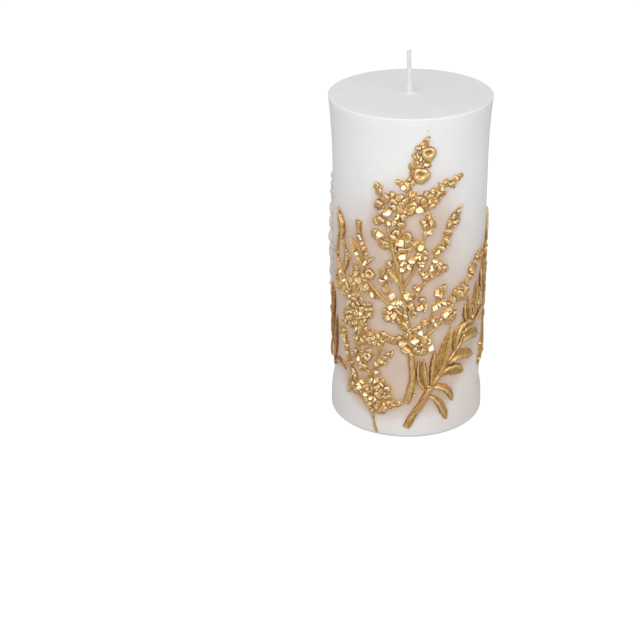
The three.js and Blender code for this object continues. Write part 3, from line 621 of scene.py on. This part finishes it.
def add_petal(relief, s, z, radius, rise, slope, fold, rng, painted_shade_and_tone=0.0):
    """A chunky petal: a tilted plate with straight cut sides, folded along a line across it.

    Some petals have two lobes, with a notch between them and a crease running in from it."""
    radius *= PETAL_SPREAD
    place, ds, dz = relief.around(s, z, 2 * radius)
    way = rng.uniform(0, 2 * math.pi)
    stretch = rng.uniform(0.85, 1.2)
    along = (ds * math.cos(way) + dz * math.sin(way)) / stretch
    across = (dz * math.cos(way) - ds * math.sin(way)) * stretch
    depth = facets(along, across, radius, rng)
    beyond_fold = np.maximum(0, across + 0.6 * along - radius * rng.uniform(-0.15, 0.35))
    top = rise + slope[0] * ds + slope[1] * dz - fold * beyond_fold
    if rng.random() < LOBED_SHARE:
        notch = 0.8 * abs(across) - 0.6 * (along - rng.uniform(0, 0.4) * radius)
        depth = blend_min(depth, notch, 0.1)
        top = top - 0.25 * np.exp(-(across / 0.18) ** 2)
    relief.sink_round(place, depth)
    plate = blend_min(np.clip(top, PETAL_LOW, PETAL_HIGH), depth * PETAL_WALL, 0.08)
    relief.raise_to(place, plate, 0.04, painted_shade_and_tone)


def glint_slope(s, z):
    """The tilt at which a plate mirrors the key light into the camera."""
    turn = s / CHART_RADIUS
    here = Vector((CHART_RADIUS * math.sin(turn), -CHART_RADIUS * math.cos(turn), z))
    key = LAMPS["key"]
    to_key = (round_candle(key.turn, key.elevation, key.distance) - here).normalized()
    to_camera = (round_candle(0, CAMERA_ELEVATION, CAMERA_DISTANCE) - here).normalized()
    facing = to_key + to_camera
    out = facing.dot(Vector((math.sin(turn), -math.cos(turn), 0)))
    round_it = facing.dot(Vector((math.cos(turn), math.sin(turn), 0)))
    return -round_it / out, -facing.z / out


def add_bright_petal(relief, s, z, radius, rng):
    slope = np.clip(glint_slope(s, z), -STEEPEST_GLINT, STEEPEST_GLINT)
    slope = slope + rng.uniform(-0.06, 0.06, 2)
    fold = rng.uniform(0, 0.5)
    # The petal's paint is made paler here as a painted highlight
    add_petal(relief, s, z, radius * BRIGHT_SHARE, BRIGHT_RISE, slope, fold, rng, BRIGHT_PAINTED_HIGHLIGHT)


def add_plain_petal(relief, s, z, radius, rng):
    tilt = rng.uniform(0.15, 0.6)
    way = rng.uniform(0, 2 * math.pi)
    slope = (tilt * math.cos(way), tilt * math.sin(way))
    rise = rng.uniform(0.65, 1.2)
    add_petal(relief, s, z, radius, rise, slope, rng.uniform(-0.5, 0.9), rng)


def add_under_petals(relief, s, z, radius, rng):
    """Lower petals that peep out beside a petal, more of them below it than above."""
    for _ in range(UNDER_PETALS):
        way = rng.normal(-math.pi / 2, 1.3)
        reach = radius * rng.uniform(0.7, 1.4)
        size = rng.uniform(0.45, 0.95)
        slope = rng.uniform(-0.6, 0.5, 2)
        beside, above = s + reach * math.cos(way), z + reach * math.sin(way)
        add_petal(relief, beside, above, size, UNDER_RISE, slope, UNDER_FOLD, rng)


def add_cup(relief, s, z, radius, rng):
    """A blossom like a round shell, with a smooth hollow off its middle."""
    place, ds, dz = relief.around(s, z, 2 * radius)
    way = np.arctan2(dz, ds)
    wobble = 1 + 0.05 * np.sin(3 * way + rng.uniform(0, 6))
    wobble = wobble + 0.03 * np.sin(5 * way + rng.uniform(0, 6))
    share = np.hypot(ds, dz) / (radius * wobble)
    shell = 0.5 + 1.1 * np.sqrt(np.clip(1 - share ** 2, 0, 1))
    aside = radius * rng.uniform(-0.25, 0.05)
    from_hollow = np.hypot(ds - aside, (dz - 0.2 * radius) * 1.15) / (0.52 * radius)
    hollow = 0.95 * np.clip(1 - from_hollow ** 2, 0, 1) ** 0.8
    lip = 0.07 * np.exp(-((from_hollow - 1.1) / 0.16) ** 2)
    inside = (1 - share) * radius
    relief.sink_round(place, inside)
    relief.raise_to(place, blend_min(shell - hollow + lip, inside * PETAL_WALL, 0.1), 0.05)


def sprig_relief(sprig, rng):
    """A sprig's blossoms, stems and leaves. Each part lies over those before it."""
    everything = np.vstack([np.array(part[0]) for part in sprig.stems + sprig.leaves])
    relief = Relief(everything.min(0) - 4, everything.max(0) + 4)
    for s, z, radius in sprig.petals:
        if radius > UNDER_PETALS_FROM:
            add_under_petals(relief, s, z, radius, rng)
    for line, width in sprig.stems:
        add_stem(relief, line, width, rng)
    for shape in sprig.leaves:
        add_leaf(relief, *shape, rng)
    for s, z, radius in sprig.petals:
        add_plain_petal(relief, s, z, radius, rng)
    for s, z, radius in sprig.cups:
        add_cup(relief, s, z, radius, rng)
    for s, z, radius in sprig.bright_petals:
        add_bright_petal(relief, s, z, radius, rng)
    marks = blurred(rng.standard_normal(relief.height.shape), 1.5) * TOOL_MARKS
    worked = blurred(relief.height, 0.3) + marks * smoothstep(relief.height, 0, 0.5)
    relief.height = np.maximum(worked, BURIED)
    return relief


def bare_relief(rng):
    """The unpainted part of the trailing sprig, with its plump blossoms."""
    relief = sprig_relief(BARE_BEHIND, rng)
    for s, z, half_width, half_height, rise in BARE_BLOSSOMS:
        lean = rng.uniform(-0.4, 0.4)
        place, ds, dz = relief.around(s, z, 2 * half_height)
        wobble = 1 + 0.1 * np.sin(3 * np.arctan2(dz, ds) + rng.uniform(0, 6))
        away = np.hypot((ds - lean * dz) / half_width, dz / half_height) / wobble
        dome = rise * np.sqrt(np.clip(1 - away ** 2, 0, 1)) + 0.12 * np.sin(3 * ds + dz)
        inside = (1 - away) * half_width
        relief.sink_round(place, inside)
        relief.raise_to(place, np.where(away < 1, dome, inside), 0.05)
    return relief


# ---- meshes

def make_object(name, points, faces, material, lids=()):
    """A smooth mesh of quads, closed by any lids, which are faces of more sides."""
    mesh = bpy.data.meshes.new(name)
    faces = faces.tolist() + [lid.tolist() for lid in lids]
    mesh.from_pydata(points.reshape(-1, 3).tolist(), [], faces)
    mesh.validate()
    mesh.polygons.foreach_set("use_smooth", [True] * len(mesh.polygons))
    mesh.materials.append(material)
    piece = bpy.data.objects.new(name, mesh)
    bpy.context.collection.objects.link(piece)
    return piece


def paint(piece, name, values):
    """A number at every point of a mesh, for its material to read."""
    attribute = piece.data.attributes.new(name, "FLOAT", "POINT")
    attribute.data.foreach_set("value", np.ascontiguousarray(values, dtype=np.float32))


def block_corners(grid):
    """Views of the four corners of every block of two by two, in order round it."""
    return grid[:-1, :-1], grid[:-1, 1:], grid[1:, 1:], grid[1:, :-1]


def joined_cells(height):
    """Grid cells that show, with no two touching only at a corner."""
    a, b, c, d = block_corners(height > SKIRT)
    cells = a & b & c & d
    for _ in range(3):
        a, b, c, d = block_corners(cells)
        meeting = (a & c & ~b & ~d) | (b & d & ~a & ~c)
        for corner in (a, b, c, d):
            corner |= meeting
    return cells


def crevices(height):
    """How far each place stands above the gold just round it, both close by and further off."""
    gold = np.clip(height, 0, 2)
    above = 0
    for reach, weight in ((0.4, 1.1), (1.1, 0.6)):
        cover = np.maximum(blurred((height > 0) * 1.0, reach / GRID), 0.3)
        away = gold - blurred(gold, reach / GRID) / cover
        sunk = away * (0.4 + 0.6 * smoothstep(cover, 0.5, 0.85))
        above = above + weight * np.where(away < 0, sunk, away)
    return above


def solid_faces(height):
    """Quads of the top, the underside and the skirts between them, and the points they use.

    The underside's points are numbered on from the top's."""
    cells = joined_cells(height)
    below = height.size
    corners = block_corners(np.arange(below).reshape(height.shape))
    padded = np.pad(cells, 1)
    open_sides = [
        ~padded[:-2, 1:-1], ~padded[1:-1, 2:], ~padded[2:, 1:-1], ~padded[1:-1, :-2],
    ]
    top = np.stack([corner[cells] for corner in corners], axis=-1)
    faces = [top, top[:, ::-1] + below]
    for side, bare in enumerate(open_sides):
        edge = cells & bare
        a, b = corners[side][edge], corners[(side + 1) % 4][edge]
        faces.append(np.stack([b, a, a + below, b + below], axis=-1))
    used, faces = np.unique(np.vstack(faces), return_inverse=True)
    return faces.reshape(-1, 4), used


def relief_object(name, relief, shift, material):
    """A closed solid on the candle's side, with the relief on top and its underside sunk."""
    faces, used = solid_faces(relief.height)
    s, z = np.meshgrid(relief.s + shift, relief.z)
    points = np.stack([on_side(s, z, relief.height), on_side(s, z, BURIED)]).reshape(-1, 3)
    # Where each point falls on the gold's colour ramp: sunk places get brown glaze and painted
    # shade, raised places rubbed paint and a painted highlight, shifted by each part's painted
    # shade and tone
    glaze_wear_and_painted_light = (crevices(relief.height) - relief.painted_shade_and_tone).ravel()
    piece = make_object(name, points[used], faces, material)
    paint(piece, "glaze_wear_and_painted_light", np.concatenate([glaze_wear_and_painted_light, glaze_wear_and_painted_light])[used])
    return piece


def full_turn(steps):
    return np.linspace(0, 2 * math.pi, steps, endpoint=False)[None, :]


def ring_faces(rings, sides):
    """Quads between rings of points, and between the last ring and the first."""
    ring = np.arange(rings)[:, None] * sides
    side = np.arange(sides)[None, :]
    following = (np.arange(rings)[:, None] + 1) % rings * sides
    beside = (side + 1) % sides
    quads = [ring + side, ring + beside, following + beside, following + side]
    return np.stack(np.broadcast_arrays(*quads), axis=-1).reshape(-1, 4)


def quarter(centre_r, centre_z, radius, start, steps=6):
    angles = math.radians(start) + np.linspace(0, math.pi / 2, steps)
    return [(centre_r + radius * math.cos(a), centre_z + radius * math.sin(a)) for a in angles]


def wax_profile():
    """(radius, height) pairs from the bore's foot, round the outside and back to its mouth."""
    side_top = BODY_HEIGHT - RIM_ROUND
    top_edge = float(body_radius(side_top)) - RIM_ROUND
    foot_edge = FOOT_RADIUS - FOOT_ROUND
    side = [(float(body_radius(z)), z) for z in np.arange(FOOT_ROUND, side_top, SIDE_STEP)]
    return (
        [(COLLAR_RADII[-1], NECK_RECESS_TOP), (NECK_RECESS_RADIUS, NECK_RECESS_TOP)]
        + [(NECK_RECESS_RADIUS, RECESS_TOP), (RECESS_RADIUS, RECESS_TOP)]
        + [(r, 0.0) for r in np.linspace(RECESS_RADIUS, foot_edge, 14)]
        + quarter(foot_edge, FOOT_ROUND, FOOT_ROUND, -90)[1:-1]
        + side
        + quarter(top_edge, side_top, RIM_ROUND, 0)[:-1]
        + [(r, float(BODY_HEIGHT)) for r in np.linspace(top_edge, 4, 40)]
        + [(r, BODY_HEIGHT + collar_rise(r)) for r in COLLAR_RADII]
    )


def collar_rise(radius):
    """How far the wax has crept up the wick at a distance from its axis."""
    return COLLAR_RISE * math.exp(-((radius - 1) / 1.1) ** 1.3)


def wax_body(warm_tint_and_shade, material):
    profile = np.array(wax_profile())
    turn = full_turn(ROUND_STEPS)
    r, z = profile[:, :1], profile[:, 1:]
    outside = smoothstep(r, 30, 32)
    radius = r + unevenness(turn * CHART_RADIUS, z) * outside
    on_top = smoothstep(z, BODY_HEIGHT - 0.8, BODY_HEIGHT - 0.1)
    lip = np.exp(-((r - (RIM_RADIUS - 0.6)) / LIP_WIDTH) ** 2)
    lip = lip * LIP_HEIGHT * (1 + np.sin(7 * turn) * np.sin(11 * turn + 1))
    dips = 0.04 * np.sin(2 * turn + 0.6) * smoothstep(r, 4, 20) + 0.02 * np.sin(r / 2.7 + 3 * turn)
    height = z + on_top * (lip + dips * smoothstep(r, 3.6, 8) - 0.03)
    faces = ring_faces(len(profile), ROUND_STEPS)
    piece = make_object("wax_pillar", round_axis(radius, turn, height), faces, material)
    tint_and_foot_shade, stain_and_shadow = wax_tint(warm_tint_and_shade, turn, z, outside)
    paint(piece, "warm_tint_and_shade", tint_and_foot_shade.ravel())
    paint(piece, "stain_and_shadow", stain_and_shadow.ravel())
    return piece


# ---- tint of the wax round the gold

def wax_tint(warm_tint_and_shade, turn, z, outside):
    """How warm the wax is, with painted shade that darkens the foot, and how stained close to the
    gold, the stain being partly painted shadow.
    """
    wide, close = warm_tint_and_shade
    s = turn * CHART_RADIUS
    fade = smoothstep(z, *TINT_STARTS) * (1 - smoothstep(z, *TINT_ENDS)) * outside
    # Painted shade: the foot is darker and warmer, more so on the right, fading out by 70 mm
    foot = FOOT_PAINTED_SHADE + FOOT_PAINTED_SHADE_ON_RIGHT * smoothstep(np.sin(turn), 0.1, 0.8)
    foot = foot * (1 - smoothstep(z, 10, 70)) * outside
    tint_and_foot_shade = np.maximum(smoothstep(bloom_at(wide, s, z), 0.0, 0.42) * fade, foot)
    # Close to the gold the wax is stained brown, partly as a real stain and partly as painted
    # shadow
    thin = (0.4 + 0.6 * smoothstep(z, 2, 22)) * (1 - 0.7 * smoothstep(z, 92, 120))
    return tint_and_foot_shade, smoothstep(bloom_at(close, s, z), 0.12, 0.6) * thin * outside


def tint_and_shadow_field(reliefs):
    """How strongly the sprigs tint the wax far off, and stain it close by with a stain that is
    partly painted shadow, on cells over the unrolled side.
    """
    columns = round(2 * HALF_ROUND / BLOOM_CELL)
    rows = round((BODY_HEIGHT + 60) / BLOOM_CELL)
    covered = np.zeros((rows, columns))
    for relief, shift in reliefs:
        s, z = np.meshgrid(relief.s, relief.z)
        raised = relief.height > 0
        column = np.round((s[raised] + shift) / BLOOM_CELL).astype(int) % columns
        row = np.round(z[raised] / BLOOM_CELL).astype(int)
        np.add.at(covered, (row, column), (GRID / BLOOM_CELL) ** 2)
    covered = np.clip(covered, 0, 1)
    faint = 0.75 * blurred(covered, FAINT_TINT_SPREAD / BLOOM_CELL)
    wide = np.maximum(blurred(covered, TINT_SPREAD / BLOOM_CELL), faint)
    return wide, blurred(covered, STAIN_AND_SHADOW_SPREAD / BLOOM_CELL)


def bloom_at(field, s, z):
    column = np.round(s / BLOOM_CELL).astype(int) % field.shape[1]
    row = np.clip(np.round(z / BLOOM_CELL).astype(int), 0, BODY_HEIGHT)
    return field[row, column]


# ---- wick and sustainer

def wick_section(phi, height):
    """Radius of a flat wick at angle phi. Each of its two cords has its own slow twist."""
    radius = np.zeros(np.broadcast(phi, height).shape)
    for side in (-1, 1):
        x = side * CORD_OFFSET + 0.03 * np.sin(height * 1.7)
        y = 0.06 * side * np.sin(height * 0.5)
        towards = x * np.cos(phi) + y * np.sin(phi)
        off = x * x + y * y - towards ** 2
        cord = CORD_RADIUS + 0.025 * np.sin(height * 4.2 + side * 3 * phi)
        radius = np.maximum(radius, towards + np.sqrt(np.clip(cord ** 2 - off, 0.02, 1)))
    return radius


def wick_braid(material):
    """A flat waxed braid: straight in its bore, leaning a little above the wax, cut across."""
    heights = np.concatenate([
        np.linspace(WICK_FOOT, BODY_HEIGHT - 1, 60, endpoint=False),
        np.linspace(BODY_HEIGHT - 1, WICK_TOP, 110),
    ])[:, None]
    phi = full_turn(WICK_SIDES)
    above = np.clip((heights - BODY_HEIGHT) / (WICK_TOP - BODY_HEIGHT), 0, 1)
    past_wax = np.clip(heights - BODY_HEIGHT, 0, 99)
    creep = 0.35 * np.exp(-past_wax / 2.6) * (heights > BODY_HEIGHT)
    radius = np.minimum(wick_section(phi, heights), 0.99) + creep
    x = radius * np.cos(phi) - WICK_LEAN * above ** 0.35
    y = -radius * np.sin(phi)
    notch = 0.45 * np.exp(-((np.cos(phi) + 0.15) / 0.45) ** 2) * smoothstep(above, 0.9, 1)
    z = heights - notch + 0.2 * np.cos(phi) * smoothstep(above, 0.9, 1)
    rings = np.stack(np.broadcast_arrays(x, y, z), axis=-1)
    foot, tip = rings[:1].mean(1, keepdims=True), rings[-1:].mean(1, keepdims=True)
    start = foot + (rings[:1] - foot) * 0.02
    end = tip + (rings[-1:] - tip) * 0.02 - np.array([0, 0, 0.15])
    rings = np.concatenate([start, rings, end])
    faces = ring_faces(len(rings), WICK_SIDES)[:-WICK_SIDES]
    lid = np.arange(WICK_SIDES)
    lids = (lid[::-1], (len(rings) - 1) * WICK_SIDES + lid)
    return make_object("wick_braid", rings * MM, faces, material, lids)


def sustainer(material):
    """A pressed disc with a rolled edge and a crimped neck."""
    bottom, top = SUSTAINER_BOTTOM, SUSTAINER_BOTTOM + SUSTAINER_SHEET
    neck_top = bottom + SUSTAINER_NECK_HEIGHT
    profile = np.array([
        (BORE_RADIUS, bottom + 0.1), (BORE_RADIUS + 0.1, bottom),
        (3.0, bottom), (3.3, bottom + 0.04), (3.6, bottom), (5.4, bottom),
        (SUSTAINER_RADIUS - 0.08, bottom), (SUSTAINER_RADIUS, bottom + 0.1),
        (SUSTAINER_RADIUS, top - 0.1), (SUSTAINER_RADIUS - 0.08, top),
        (3.6, top), (3.3, top + 0.04), (3.0, top),
        (SUSTAINER_NECK_RADIUS + 0.35, top), (SUSTAINER_NECK_RADIUS, top + 0.3),
        (SUSTAINER_NECK_RADIUS, neck_top - 0.1), (SUSTAINER_NECK_RADIUS - 0.1, neck_top),
        (BORE_RADIUS + 0.08, neck_top), (BORE_RADIUS, neck_top - 0.1),
    ])
    turn = full_turn(SUSTAINER_SIDES)
    r, z = profile[:, :1], profile[:, 1:]
    crimp = 0.05 * np.cos(4 * turn) * smoothstep(z, top + 0.4, top + 1.2)
    points = round_axis(r - abs(crimp), turn, z)
    faces = ring_faces(len(profile), SUSTAINER_SIDES)
    return make_object("sustainer_pressing", points, faces, material)


# ---- materials

class Nodes:
    """A material's or world's node tree, with short calls to add and link its nodes."""

    def __init__(self, owner, shader):
        owner.use_nodes = True
        self.owner = owner
        self.tree = owner.node_tree
        self.shader = self.tree.nodes[shader]

    def feed(self, socket, value):
        if isinstance(value, bpy.types.NodeSocket):
            self.tree.links.new(value, socket)
        else:
            socket.default_value = value

    def add(self, kind, inputs=(), **settings):
        node = self.tree.nodes.new(kind)
        for key, value in settings.items():
            setattr(node, key, value)
        for key, value in dict(inputs).items():
            self.feed(node.inputs[key], value)
        return node

    def set(self, name, value):
        self.feed(self.shader.inputs[name], value)

    def number(self, name):
        return self.add("ShaderNodeAttribute", attribute_name=name).outputs["Fac"]

    def camera_ray(self):
        return self.add("ShaderNodeLightPath").outputs["Is Camera Ray"]

    def noise(self, per_mm, detail=3.0, stretch=(1, 1, 1)):
        """Noise of the object's own place, with about `per_mm` bumps to the millimetre."""
        place = self.add("ShaderNodeTexCoord").outputs["Object"]
        scaled = self.add("ShaderNodeMapping", {"Vector": place, "Scale": stretch})
        inputs = {"Vector": scaled.outputs["Vector"], "Scale": per_mm / MM, "Detail": detail}
        return self.add("ShaderNodeTexNoise", inputs).outputs["Fac"]

    def patches(self, per_mm, detail, low=0.0, high=1.0, softness=0.2):
        """Noise as patches that run from low to high. The softer, the wider their edges."""
        return self.between(self.noise(per_mm, detail), 0.5 - softness, 0.5 + softness, low, high)

    def between(self, value, low, high, out_low=0.0, out_high=1.0):
        inputs = {"Value": value, "From Min": low, "From Max": high}
        inputs |= {"To Min": out_low, "To Max": out_high}
        return self.add("ShaderNodeMapRange", inputs).outputs["Result"]

    def sum(self, a, b):
        return self.add("ShaderNodeMath", {0: a, 1: b}, operation="ADD").outputs[0]

    def times(self, a, b):
        return self.add("ShaderNodeMath", {0: a, 1: b}, operation="MULTIPLY").outputs[0]

    def ramp(self, value, stops):
        node = self.add("ShaderNodeValToRGB", {"Fac": value})
        bands = node.color_ramp.elements
        for place, colour in stops[1:-1]:
            bands.new(place)
        for band, (place, colour) in zip(bands, stops):
            band.position = place
            band.color = (*colour, 1)
        return node.outputs["Color"]

    def mix(self, share, a, b, blend="MIX"):
        """Two colours mixed. Sockets 6 and 7 are the node's two colour inputs."""
        node = self.add("ShaderNodeMix", data_type="RGBA", blend_type=blend)
        self.feed(node.inputs[0], share)
        for socket, colour in ((node.inputs[6], a), (node.inputs[7], b)):
            self.feed(socket, (*colour, 1) if isinstance(colour, tuple) else colour)
        return node.outputs[2]

    def bump(self, height, distance, strength, under=None):
        inputs = {"Height": height, "Distance": distance * MM, "Strength": strength}
        if under is not None:
            inputs["Normal"] = under
        return self.add("ShaderNodeBump", inputs).outputs["Normal"]


def new_material(name):
    return Nodes(bpy.data.materials.new(name), "Principled BSDF")


def gold_material():
    """Antique gold paint: brown in the crevices, partly a glaze and partly painted shade; gold on
    the faces;
    pale on raised parts, partly rubbed paint and partly a painted highlight.
    """
    n = new_material("antique_gold")
    standing = n.between(n.number("glaze_wear_and_painted_light"), -0.8, 0.5)
    # Brown at the ramp's low end is partly glaze and partly painted shade; cream at its top is
    # partly rubbed paint and partly a painted highlight
    colour = n.ramp(n.sum(standing, n.patches(0.45, 4, -0.1, 0.1)), [
        (0.0, (0.18, 0.065, 0.012)),
        (0.3, (0.38, 0.175, 0.045)),
        (0.52, (0.65, 0.385, 0.12)),
        (0.76, (0.84, 0.59, 0.255)),
        (1.0, (0.98, 0.87, 0.65)),
    ])
    warm = n.mix(n.between(n.noise(0.16, 2), 0.4, 0.65), (1.0, 0.93, 0.84), (1.0, 1.0, 1.0))
    n.set("Base Color", n.mix(1.0, colour, warm, "MULTIPLY"))
    n.set("Metallic", 0.6)
    n.set("Roughness", n.patches(0.9, 3, 0.24, 0.42))
    n.set("Coat Weight", 0.4)
    n.set("Coat Roughness", 0.2)
    n.set("Normal", n.bump(n.noise(0.9, 2), 0.06, 0.3))
    return n.owner


def wax_material():
    """Cast white wax: faintly mottled, silky, tinted warm round the gold, with painted shade
    darkening its foot and a brown stain near the gold that is partly painted shadow.
    """
    n = new_material("candle_wax")
    warm_tint_and_shade = n.number("warm_tint_and_shade")
    share = n.sum(warm_tint_and_shade, n.times(n.patches(0.12, 4, -0.04, 0.04), warm_tint_and_shade))
    clean = n.mix(n.patches(0.05, 3, softness=0.15), (0.87, 0.87, 0.87), (0.9, 0.9, 0.895))
    tinted_and_shaded = n.mix(n.patches(0.1, 3, softness=0.15), (0.66, 0.515, 0.42), (0.7, 0.55, 0.455))
    # The brown stain close to the gold, partly real and partly painted shadow
    stain_and_shadow_mask = n.times(n.number("stain_and_shadow"), n.patches(0.3, 3, 0.45, 0.85))
    n.set("Base Color", n.mix(stain_and_shadow_mask, n.mix(share, clean, tinted_and_shaded), (0.58, 0.37, 0.19)))
    n.set("Subsurface Weight", 0.3)
    n.set("Subsurface Radius", (1.0, 0.85, 0.7))
    n.set("Subsurface Scale", 4 * MM)
    n.set("Roughness", n.patches(0.35, 4, 0.34, 0.5))
    n.set("IOR", 1.44)
    soft = n.bump(n.noise(0.18, 3), 0.12, 0.5)
    n.set("Normal", n.bump(n.noise(1.6, 4), 0.03, 0.6, soft))
    return n.owner


def wick_material():
    """Bleached cotton under a thin coat of wax."""
    n = new_material("waxed_cotton")
    fibres = n.noise(2.6, 4, (1, 1, 0.2))
    n.set("Base Color", n.mix(n.between(fibres, 0.3, 0.7), (0.68, 0.68, 0.67), (0.78, 0.78, 0.77)))
    n.set("Roughness", n.patches(0.8, 2, 0.45, 0.65))
    n.set("Subsurface Weight", 0.2)
    n.set("Subsurface Radius", (1.0, 0.9, 0.8))
    n.set("Subsurface Scale", 1 * MM)
    n.set("Normal", n.bump(fibres, 0.12, 0.6))
    return n.owner


def steel_material():
    """Tinned sheet steel with fine rolling scratches and dull patches."""
    n = new_material("tinned_steel")
    dull = n.patches(0.4, 4, softness=0.15)
    n.set("Base Color", n.mix(dull, (0.52, 0.53, 0.54), (0.68, 0.69, 0.7)))
    n.set("Metallic", 1.0)
    n.set("Roughness", n.patches(0.7, 3, 0.28, 0.5))
    n.set("Normal", n.bump(n.noise(2.5, 3, (0.15, 1, 1)), 0.02, 0.5))
    return n.owner


def floor_material():
    """A pale matte floor, which glows for the camera so that it meets the backdrop unseen."""
    n = new_material("pale_floor")
    n.set("Base Color", (0.5, 0.5, 0.5, 1))
    n.set("Roughness", 0.9)
    n.set("Specular IOR Level", 0.1)
    n.set("Emission Color", (1, 1, 1, 1))
    n.set("Emission Strength", n.times(n.camera_ray(), FLOOR_GLOW))
    return n.owner


# ---- camera, floor and light

def aimed_object(name, data, place, aim, roll=0):
    """An object at a place that looks at its aim, leaning by roll degrees."""
    look = (Vector(aim) - place).to_track_quat("-Z", "Y")
    lean = Quaternion((0, 0, 1), math.radians(roll))
    item = bpy.data.objects.new(name, data)
    item.matrix_world = Matrix.Translation(place * MM) @ (look @ lean).to_matrix().to_4x4()
    bpy.context.collection.objects.link(item)
    return item


def make_camera():
    data = bpy.data.cameras.new("camera")
    data.lens = LENS
    data.sensor_width = SENSOR
    data.clip_end = 100
    place = round_candle(0, CAMERA_ELEVATION, CAMERA_DISTANCE)
    bpy.context.scene.camera = aimed_object("camera", data, place, CAMERA_AIM, CAMERA_ROLL)


def make_floor():
    corners = np.array([(-1, -1, 0), (1, -1, 0), (1, 1, 0), (-1, 1, 0)]) * FLOOR_HALF * MM
    floor = make_object("floor", corners, np.array([(0, 1, 2, 3)]), floor_material())


def make_sky():
    """Surroundings that are pale at the horizon and a little darker overhead."""
    n = Nodes(bpy.data.worlds.new("studio"), "Background")
    way = n.add("ShaderNodeTexCoord").outputs["Generated"]
    up = n.add("ShaderNodeSeparateXYZ", {"Vector": way}).outputs["Z"]
    n.set("Color", n.ramp(up, [(0.05, (1, 1, 1)), (0.75, (0.65, 0.65, 0.65))]))
    n.set("Strength", n.between(n.camera_ray(), 0, 1, SKY_STRENGTH, BACKDROP_STRENGTH))
    bpy.context.scene.world = n.owner
    bpy.context.scene.view_settings.view_transform = "Standard"


def make_lamps():
    for name, lamp in LAMPS.items():
        data = bpy.data.lights.new(name, "AREA")
        data.shape = "RECTANGLE"
        data.size = lamp.width
        data.size_y = lamp.height
        data.energy = lamp.power
        place = round_candle(lamp.turn, lamp.elevation, lamp.distance)
        aimed_object(name, data, place, CAMERA_PIVOT)


# ---- the candle

def join(piece, node):
    """Makes a piece stand for a CAD node: hangs it under the root body and hides that node's CAD
    part.
    """
    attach(piece, "root")
    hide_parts(node)


def make_sprigs():
    """The gilded sprigs in front and behind. Gives each relief and how far round it is shifted."""
    gold = gold_material()
    reliefs = []
    for index, (name, sprig) in enumerate(SPRIGS.items()):
        low_shade, high_shade = SPRIG_PAINTED_SHADE.get(name, (0, 0))
        for side, shift in (("front", 0), ("back", HALF_ROUND)):
            rng = np.random.default_rng([SEED, index, side == "back"])
            if sprig is TRAILING_SPRIG and side == "back":
                sprig = PAINTED_BEHIND
            relief = sprig_relief(sprig, rng)
            # Painted shade on the whole sprig, blended from its lower part to its upper; negative
            # values paint it lighter
            high = smoothstep(relief.z, HIGH_FROM, HIGH_TO)[:, None]
            relief.painted_shade_and_tone += low_shade + (high_shade - low_shade) * high
            reliefs.append((relief, shift))
            piece = relief_object(f"{name}_relief_{side}", relief, shift, gold)
            join(piece, f"{name}_{side}")
    return reliefs


def make_candle():
    reliefs = make_sprigs()
    wax = wax_material()
    bare = bare_relief(np.random.default_rng([SEED, len(SPRIGS)]))
    body = wax_body(tint_and_shadow_field(reliefs + [(bare, HALF_ROUND)]), wax)
    blossoms = relief_object("wax_bare_blossoms", bare, HALF_ROUND, wax)
    paint(blossoms, "warm_tint_and_shade", np.full(len(blossoms.data.vertices), BARE_BLOOM))
    join(body, "wax_body")
    join(blossoms, "wax_body")
    join(wick_braid(wick_material()), "wick")
    join(sustainer(steel_material()), "wick_sustainer")


make_camera()
make_sky()
make_lamps()
make_floor()
make_candle()
